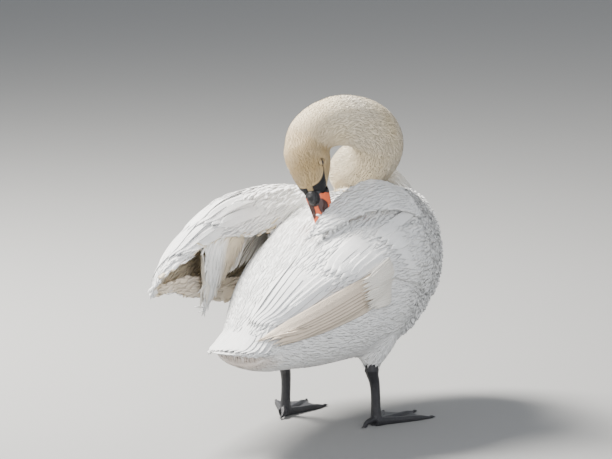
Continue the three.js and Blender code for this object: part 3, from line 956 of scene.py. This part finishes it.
class SWAN_OT_wing_feathers(bpy.types.Operator):
    """Grows the coverts of both wings and the tail"""

    bl_idname = "swan.wing_feathers"
    bl_label = "Wing coverts"

    def execute(self, context):
        gap = context.scene.swan_coat.wing_gap
        sizes = dict(length=(0.028, -0.008), width=(0.0036, 0.0018), rise=(0.0008, 0.0010), curl=(0, 0.0034))
        coat_piece("wing_right_coverts", ["wing_right"], gap, 91, camber=0.14, **sizes)
        shoulder = dict(camber=0.14)
        outer = dict(where=lambda p: left_hollow(p) < 0.5, camber=0.10, sway=0.05)
        # Feathers inside the hollow carry the painted shade that markings gives the inside of the loose wing.
        inner = dict(where=lambda p: left_hollow(p) > 0.5, camber=0.25, slot="plumage_cream")
        plumes = dict(curl=0.0008, camber=0.4, slot="plumage_cream", rows=6, stray=0.12)
        tail = dict(where=slab(-36.2, np.inf), camber=0.25)
        for name, nodes, gap, seed, length, width, rise, more in (
            ("scapular_coverts", ["wing_right_scapulars"], 0.0055, 101, 0.024, 0.0034, 0.0008, shoulder),
            ("wing_left_coverts", ["wing_left"], 0.0066, 111, 0.040, 0.0036, 0.0007, outer),
            ("wing_left_inner", ["wing_left", "wing_left_primaries"], 0.008, 115, 0.036, 0.004, 0.001, inner),
            ("wing_left_axillar_coverts", ["wing_left_axillars"], 0.0065, 121, 0.042, 0.0034, 0.0018, plumes),
            ("tail_coverts", ["tail"], 0.007, 131, 0.036, 0.0042, 0.0010, tail),
        ):
            coat_piece(name, nodes, gap, seed, length, width, rise, **{"stray": 0.08, **more})
        return {"FINISHED"}


# ---- long feathers


def tail_top(path, spot, known):
    """The skin's top under an x and a y of the tail, carried on straight where the skin ends."""
    above_tail = on_bird((spot[0], spot[1], 30))
    place, _, face, _ = field["surface"].ray_cast(above_tail, (0, 0, -1))
    if place is None and known < 2:
        raise RuntimeError("the tail's feathers root off the skin")
    if place is None:
        place = 2 * path[known - 1] - path[known - 2]
    return place, unit((TAIL_ARCH * spot[0], 0, 1)), face


def round_axis(axis, y, turn):
    """The skin's outermost place, normal and face at a turn round an axis: 0 at its right, 90 on top."""
    x, z = (np.interp(y, axis[:, 0], axis[:, k]) for k in (1, 2))
    out = np.array([math.cos(math.radians(turn)), 0, math.sin(math.radians(turn))])
    reach = TRUNK_REACH if axis is TRUNK_AXIS else LEFT_WING_REACH
    place, normal, face, _ = field["surface"].ray_cast(on_bird((x, y, z)) + reach * out, -out)
    if place is None:
        raise RuntimeError("no skin round that axis")
    return place, normal, face


def between_keys(keys, count):
    """Roots and tips of a row of feathers, evenly spaced through its key feathers."""
    keys = np.array(keys, float)
    share = np.linspace(0, 1, count)
    spots = np.linspace(0, 1, len(keys))
    columns = [np.interp(share, spots, column) for column in keys.reshape(len(keys), -1).T]
    return np.stack(columns, 1).reshape(count, 2, -1)


def row_tint(kind, points):
    """White, pale or stained feathers. The stain is deeper towards the tail."""
    white, cream, buff = palette("white", "cream", "buff")
    stain = (kind == "stained") * (0.3 + 0.5 * fade(-12, -28, bird_cm(points)[:, 1]))
    return mix(mix(white, cream, CREAM_SHARE[kind]), buff, stain)


def laid_row(
    seed, name, count, widths, keys, axis=TRUNK_AXIS, tint="white", slot="plumage_white",
    stack=0.0001, rise=0.0009, off=0.0003, bury=3.5, camber=0.07, ragged=0.03, sway=0.0, slant=0.02,
):
    """A row of long feathers. bury is how steeply they leave the plumage, and off how far they lie over."""
    roots, tips = between_keys(keys, count).swapaxes(0, 1)
    t = np.linspace(0, 1, FLIGHT_KNOTS)
    path = np.empty((count, FLIGHT_KNOTS, 3))
    up = np.empty_like(path)
    uv = np.empty((count, 2))
    for i, k in itertools.product(range(count), range(FLIGHT_KNOTS)):
        spot = roots[i] * (1 - t[k]) + tips[i] * t[k]
        if axis is TAIL_TOP:
            path[i, k], up[i, k], face = tail_top(path[i], spot, k)
        elif axis is None:
            path[i, k] = on_bird(spot)
            _, up[i, k], face, _ = field["surface"].find_nearest(path[i, k])
        else:
            path[i, k], up[i, k], face = round_axis(axis, *spot)
        if k == 0:
            uv[i] = field["uv"][face].mean(0)
    for _ in range(2):
        path[:, 1:-1] = (path[:, :-2] + path[:, 1:-1] + path[:, 2:]) / 3
        up[:, 1:-1] = unit(up[:, :-2] + up[:, 1:-1] + up[:, 2:])
    layer = np.arange(count)
    if axis is TAIL_TOP:
        layer = np.minimum(layer, layer[::-1])
    clear = (off + stack * layer)[:, None]
    path = path + up * (clear - (clear + ROOT_DEPTH) * (1 - t[None]) ** bury)[:, :, None]
    half = np.interp(np.linspace(0, 1, count), np.linspace(0, 1, len(widths)), widths)
    still = np.zeros(count)
    shape = (FLIGHT_ROWS, FLIGHT_RING, FLIGHT_OUTLINE, camber)
    colours = row_tint(tint, path[:, 3])
    vane = dict(ragged=ragged, sway=sway, slant=slant)
    obj = grow(name, path, up, uv, colours, half, still + rise, still, seed, *shape, **vane)
    hand_in(obj, plumage_material("feathers_" + name, LONG_BARBS), slot)


class SWAN_OT_flight_feathers(bpy.types.Operator):
    """Lays the long feathers of the folded wing, the loose wing and the tail one by one"""

    bl_idname = "swan.flight_feathers"
    bl_label = "Flight feathers"

    def execute(self, context):
        for seed, row in enumerate(LONG_FEATHERS, FIRST_ROW_SEED):
            laid_row(seed, **row)
        return {"FINISHED"}


# ---- bill, eyes, feet


def knob_distance(along, aside, above):
    """1 on the knob's outside, and less within."""
    away = ((along - KNOB_ALONG), aside, (above - KNOB_ABOVE))
    return np.linalg.norm(np.stack([part / half for part, half in zip(away, KNOB_HALF)]), axis=0)


def shaped_bill(co, normal):
    """The upper bill with its nostrils sunk, its nail raised, its knob lumpy and its base pushed back."""
    along, aside, above = head_cm(co)
    nostril = np.hypot((along - NOSTRIL_ALONG) / 0.62, (above - 0.15) / 0.22)
    nostril = 0.0022 * fade(1.1, 0.5, nostril) * (np.abs(aside) > 0.5)
    nail = 0.0007 * fade(1.1, 0.7, np.hypot((along - NAIL_ALONG) / 0.9, aside / 0.7))
    lumpy = 0.0007 * waves(co, 420, 5) * fade(1.15, 0.95, knob_distance(along, aside, above))
    back = 0.0016 * fade(7.2, 6.2, along)
    return co + normal * (nail - nostril + lumpy)[:, None] - forward * back[:, None]


def dark_bill(co):
    """1 on the knob, the cutting edge, round the nostrils, the nail and the base."""
    along, aside, above = head_cm(co)
    side = np.abs(aside)
    nostril = np.hypot((along - 10.4) / 1.5, (side - 1.05) / 0.75)
    rim = 8.75 - 0.55 * np.clip(side / 1.8, 0, 1)
    parts = (
        fade(1.12, 0.98, knob_distance(along, aside, above)),
        fade(-1.18, -1.34, above),
        0.95 * fade(1.05, 0.85, nostril) * (above > -0.4),
        fade(15.2, 15.6, along),
        fade(rim, rim - 0.14, along),
    )
    return np.max(parts, axis=0)


class SWAN_OT_bill(bpy.types.Operator):
    """Makes the bill with its knob, nostrils and nail"""

    bl_idname = "swan.bill"
    bl_label = "Bill"

    def execute(self, context):
        orange, black = palette("orange", "black")
        upper = copy_nodes(["bill_upper", "knob"], "bill_upper_and_knob")
        remesh(upper, BILL_GRAIN, 4)
        co = shaped_bill(places(upper.data), normals(upper.data))
        set_places(upper.data, co)
        paint(upper.data, mix(orange * (1 + 0.10 * waves(co, 260, 7)[:, None]), black, dark_bill(co)))
        hand_in(upper, horn_material("bill_sheath"), "bill_skin", "bill_upper", "knob")
        lower = copy_nodes(["bill_lower"], "bill_lower_sheath")
        remesh(lower, LOWER_BILL_GRAIN, 3)
        along, aside, above = head_cm(places(lower.data))
        edge = fade(-1.75, -1.6, above) * fade(1.1, 1.4, np.abs(aside))
        paint(lower.data, mix(0.8 * orange, black, np.maximum(edge, fade(8.0, 7.2, along))))
        hand_in(lower, horn_material("bill_sheath_lower"), "bill_skin", "bill_lower")
        return {"FINISHED"}


def eyeball(word, centre, outward, turn):
    ball = sphere("eyeball_" + word, centre, EYE_RADIUS / 100, 40, 24, turn)
    away = places(ball.data) - centre
    away = away + outward * (0.0005 * fade(0.0042, 0.0062, away @ outward))[:, None]
    set_places(ball.data, centre + away)
    off_middle = np.linalg.norm(away - (away @ outward)[:, None] * outward, axis=1)
    paint(ball.data, mix(IRIS, PUPIL, fade(0.0024, 0.0019, off_middle)))
    hand_in(ball, eye_material("eye_" + word), "eye", "eye_" + word)


def lids(word, centre, outward, turn):
    """A shell over the eyeball, pushed in behind an almond opening with a black margin."""
    cream, ochre, black = palette("cream", "ochre", "black")
    lid = sphere("eyelids_" + word, centre, EYE_RADIUS / 100 + LID_THICKNESS, 96, 64, turn)
    away = places(lid.data) - centre
    ahead = np.abs(away @ forward)
    high = np.abs(away @ crownward + LID_SHIFT)
    opening = LID_OPENING * np.sqrt(np.clip(1 - (ahead / LID_REACH) ** 2, 0, 1))
    inside = fade(opening + 0.00035, opening - 0.00015, high) * (away @ outward > 0) * (ahead < LID_REACH)
    set_places(lid.data, centre + away * (1 - 0.22 * inside)[:, None])
    margin = fade(opening + 0.0016, opening + 0.0010, high) * (ahead < LID_REACH + 0.0013)
    paint(lid.data, mix(0.2 * cream + 0.62 * ochre, black, np.maximum(margin, inside)))
    hand_in(lid, horn_material("lid_skin_" + word), "black_skin")


class SWAN_OT_eyes(bpy.types.Operator):
    """Sets the eyes in their lids"""

    bl_idname = "swan.eyes"
    bl_label = "Eyes"

    def execute(self, context):
        for side, word in SIDES:
            outward = rightward * side
            centre = eye_centre(side) - outward * EYE_SINK
            turn = Vector(outward).to_track_quat("Z", "Y").to_euler()
            eyeball(word, centre, outward, turn)
            lids(word, centre, outward, turn)
        return {"FINISHED"}


def scaled_leg(word):
    nodes = ["leg_" + word, "foot_" + word]
    leg = copy_nodes(nodes, "leg_and_foot_" + word)
    remesh(leg, LEG_GRAIN, 2)
    co = places(leg.data)
    co[co[:, 2] < 0.0006, 2] = 0.0
    set_places(leg.data, co)
    paint(leg.data, palette("black")[0] * 2.6 * (1 + 0.25 * waves(co, 150, 9)[:, None]))
    hand_in(leg, scale_material("leg_scales_" + word), "leg_skin", *nodes)


def claws(side, word):
    """One curved claw at the tip of each toe, joined as one piece."""
    made = []
    for turn, reach, height in CLAWS:
        angle = math.radians(turn + FOOT_TURN)
        ahead = np.array((side * math.sin(angle), math.cos(angle), 0))
        middle = on_bird((side * HEEL_X, HEEL_Y, height)) + ahead * reach / 100
        claw = sphere("claws_" + word, middle, CLAW_RADIUS / 100, 24, 20)
        away = places(claw.data) - middle
        along = away @ ahead
        share = along / (CLAW_RADIUS / 100)
        thin = 1 - 0.72 * fade(-0.4, 1.0, share)
        aside = (away - ahead * along[:, None]) * thin[:, None]
        co = middle + ahead * (along * CLAW_STRETCH)[:, None] + aside
        co[:, 2] = np.maximum(co[:, 2] - 0.0014 * np.clip(share, 0, 1) ** 2, 0)
        set_places(claw.data, co)
        made.append(claw)
    only(made[0])
    for claw in made[1:]:
        claw.select_set(True)
    bpy.ops.object.join()
    joined = made[0]
    paint(joined.data, palette("black")[0] * 2.4 * (1 + 0.3 * waves(places(joined.data), 300, 12)[:, None]))
    hand_in(joined, horn_material("claw_horn_" + word), "black_skin")


class SWAN_OT_legs(bpy.types.Operator):
    """Makes the scaled legs, webbed feet and claws"""

    bl_idname = "swan.legs"
    bl_label = "Legs and feet"

    def execute(self, context):
        for side, word in SIDES:
            scaled_leg(word)
            claws(side, word)
        return {"FINISHED"}


# ---- materials


def add(tree, kind, **values):
    node = tree.nodes.new(kind)
    for key, value in values.items():
        setattr(node, key, value)
    return node


def put(tree, socket, value):
    """Sets a socket to a value, or links it to the output of another node."""
    if isinstance(value, bpy.types.NodeSocket):
        tree.links.new(value, socket)
    else:
        socket.default_value = value


def math_node(tree, operation, *values):
    node = add(tree, "ShaderNodeMath", operation=operation)
    for socket, value in zip(node.inputs, values):
        put(tree, socket, value)
    return node.outputs[0]


def shaded(tree, tint, share):
    """A tint made darker or lighter by a share."""
    node = add(tree, "ShaderNodeVectorMath", operation="SCALE")
    put(tree, node.inputs[0], tint)
    put(tree, node.inputs["Scale"], share)
    return node.outputs[0]


def texture(tree, kind, scale, **values):
    """A texture laid in the piece's own space."""
    node = add(tree, kind, **values)
    put(tree, node.inputs["Scale"], scale)
    put(tree, node.inputs["Vector"], add(tree, "ShaderNodeTexCoord").outputs["Object"])
    return node


def noise(tree, scale, detail):
    node = texture(tree, "ShaderNodeTexNoise", scale)
    put(tree, node.inputs["Detail"], detail)
    return node.outputs[0]


def bumped(tree, height, strength, distance):
    node = add(tree, "ShaderNodeBump")
    for key, value in (("Height", height), ("Strength", strength), ("Distance", distance)):
        put(tree, node.inputs[key], value)
    return node.outputs[0]


def painted(tree):
    return add(tree, "ShaderNodeAttribute", attribute_name="tint").outputs["Color"]


def new_tree(name):
    material = bpy.data.materials.new(name)
    material.use_nodes = True
    return material, material.node_tree


def shade(tree, **inputs):
    """Fills the inputs of a material's own shader. An underscore in a key stands for a space."""
    shader = tree.nodes["Principled BSDF"]
    for key, value in inputs.items():
        put(tree, shader.inputs[key.replace("_", " ")], value)


def barb_group():
    """Barbs that slant away from each vane's shaft, as a height and a faint change of shade."""
    if "Barbs" in bpy.data.node_groups:
        return bpy.data.node_groups["Barbs"]
    group = bpy.data.node_groups.new("Barbs", "ShaderNodeTree")
    for way, sockets in (
        ("INPUT", (("Tint", "Color"), ("Barbs", "Float"), ("Grime", "Float"))),
        ("OUTPUT", (("Color", "Color"), ("Height", "Float"), ("Roughness", "Float"))),
    ):
        for label, kind in sockets:
            group.interface.new_socket(name=label, in_out=way, socket_type="NodeSocket" + kind)
    given = group.nodes.new("NodeGroupInput").outputs
    result = group.nodes.new("NodeGroupOutput").inputs
    work = functools.partial(math_node, group)
    split = add(group, "ShaderNodeSeparateXYZ")
    put(group, split.inputs[0], add(group, "ShaderNodeUVMap", uv_map="vane").outputs[0])
    across, along = split.outputs[0], split.outputs[1]
    from_shaft = work("ABSOLUTE", work("SUBTRACT", across, 0.5))
    slant = work("SUBTRACT", along, work("MULTIPLY", from_shaft, 0.7))
    grain = noise(group, 160, 3)
    phase = work("MULTIPLY", work("ADD", slant, work("MULTIPLY", grain, 0.25)), given["Barbs"])
    barbs = work("SINE", work("MULTIPLY", phase, 6.2832))
    soil = work("MULTIPLY", work("SUBTRACT", noise(group, 38, 5), 0.42), given["Grime"])
    light = work("SUBTRACT", 1.0, work("MAXIMUM", soil, 0.0))
    light = work("ADD", light, work("MULTIPLY", barbs, 0.022))
    put(group, result["Color"], shaded(group, given["Tint"], light))
    put(group, result["Height"], work("ADD", barbs, work("MULTIPLY", grain, 2.0)))
    put(group, result["Roughness"], work("ADD", 0.62, work("MULTIPLY", grain, 0.2)))
    return group


def plumage_material(name, barbs, grime=0.25):
    """Feathers: soft, rough, their colour painted on and their barbs drawn along each vane."""
    material, tree = new_tree(name)
    group = add(tree, "ShaderNodeGroup", node_tree=barb_group())
    for key, value in (("Tint", painted(tree)), ("Barbs", barbs), ("Grime", grime)):
        put(tree, group.inputs[key], value)
    color, height, roughness = group.outputs
    shade(tree, Base_Color=color, Roughness=roughness, Normal=bumped(tree, height, 0.35, 0.0006))
    shade(tree, Sheen_Weight=0.08, Sheen_Roughness=0.5, Specular_IOR_Level=0.3)
    return material


def horn_material(name):
    """Bill sheath, claws and bare skin: fine grain and a dull shine."""
    material, tree = new_tree(name)
    grain = noise(tree, 900, 4)
    dull = math_node(tree, "ADD", 0.40, math_node(tree, "MULTIPLY", grain, 0.25))
    shade(tree, Base_Color=painted(tree), Normal=bumped(tree, grain, 0.3, 0.0003), Roughness=dull)
    return material


def scale_material(name):
    """Leg skin: small, many-sided scales with dark cracks between them."""
    material, tree = new_tree(name)
    scales = texture(tree, "ShaderNodeTexVoronoi", 330, feature="DISTANCE_TO_EDGE")
    crack = math_node(tree, "MINIMUM", math_node(tree, "MULTIPLY", scales.outputs["Distance"], 7.0), 1.0)
    light = math_node(tree, "ADD", 0.55, math_node(tree, "MULTIPLY", crack, 0.6))
    colour_out = shaded(tree, painted(tree), light)
    shade(tree, Base_Color=colour_out, Normal=bumped(tree, crack, 0.6, 0.0006), Roughness=0.42)
    return material


def eye_material(name):
    material, tree = new_tree(name)
    shade(tree, Base_Color=painted(tree), Roughness=0.06, Coat_Weight=1.0, Coat_Roughness=0.02)
    return material


def floor_material(tint):
    material, tree = new_tree("pale_floor")
    shade(tree, Base_Color=(*tint, 1), Roughness=0.9)
    return material


# ---- stage


class SWAN_OT_stage(bpy.types.Operator):
    """Sets the floor, the light and the camera"""

    bl_idname = "swan.stage"
    bl_label = "Stage"

    def execute(self, context):
        stage = context.scene.swan_stage
        bpy.ops.mesh.primitive_plane_add(size=FLOOR_SIZE)
        floor = bpy.context.object
        floor.name = "floor"
        floor.data.materials.append(floor_material(stage.floor))
        world = bpy.data.worlds.new("soft_sky")
        context.scene.world = world
        world.use_nodes = True
        background = world.node_tree.nodes["Background"]
        background.inputs[0].default_value = SKY
        background.inputs[1].default_value = SKY_STRENGTH
        sin, cos = math.sin(stage.azimuth), math.cos(stage.azimuth)
        level = math.cos(stage.elevation)
        back = np.array([sin * level, -cos * level, math.sin(stage.elevation)])
        right = np.array([cos, sin, 0])
        above = np.cross(back, right)
        aim = on_bird((0, 0, 0)) + right * AIM_RIGHT + above * AIM_UP
        bpy.ops.object.camera_add(location=aim + back * stage.distance)
        camera = bpy.context.object
        camera.name = "camera"
        camera.rotation_euler = Vector(-back).to_track_quat("-Z", "Y").to_euler()
        camera.data.sensor_width = SENSOR_WIDTH
        camera.data.lens = SENSOR_WIDTH * stage.distance / stage.view_width
        camera.data.clip_end = FAR_CLIP
        context.scene.camera = camera
        for name, place, energy, size, tint in LAMPS:
            offset = place @ np.stack([right, above, back])
            bpy.ops.object.light_add(type="AREA", location=on_bird((0, 0, LIT_HEIGHT)) + offset)
            lamp = bpy.context.object
            lamp.name = name
            lamp.data.energy = energy
            lamp.data.size = size
            lamp.data.color = tint
            lamp.rotation_euler = Vector(offset).to_track_quat("Z", "Y").to_euler()
        return {"FINISHED"}


class SWAN_PT_panel(bpy.types.Panel):
    """Everything that makes the swan, in order"""

    bl_idname = "SWAN_PT_panel"
    bl_label = "Swan"
    bl_space_type = "VIEW_3D"
    bl_region_type = "UI"
    bl_category = "Swan"

    def draw(self, context):
        for name, group in GROUPS:
            for key in group.__annotations__:
                self.layout.prop(getattr(context.scene, name), key)
        for operator in OPERATORS:
            self.layout.operator(operator.bl_idname)


GROUPS = [("swan_coat", SwanCoat), ("swan_colours", SwanColours), ("swan_stage", SwanStage)]
OPERATORS = [
    *(SWAN_OT_skin, SWAN_OT_head_feathers, SWAN_OT_body_feathers, SWAN_OT_wing_feathers),
    *(SWAN_OT_flight_feathers, SWAN_OT_bill, SWAN_OT_eyes, SWAN_OT_legs, SWAN_OT_stage),
]


def register():
    for name, group in GROUPS:
        bpy.utils.register_class(group)
        setattr(bpy.types.Scene, name, bpy.props.PointerProperty(type=group))
    for cls in OPERATORS + [SWAN_PT_panel]:
        bpy.utils.register_class(cls)


def unregister():
    for cls in reversed(OPERATORS + [SWAN_PT_panel]):
        bpy.utils.unregister_class(cls)
    for name, group in reversed(GROUPS):
        delattr(bpy.types.Scene, name)
        bpy.utils.unregister_class(group)


def main():
    register()
    for operator in OPERATORS:
        area, _, name = operator.bl_idname.partition(".")
        getattr(getattr(bpy.ops, area), name)()


if __name__ == "__main__":
    main()
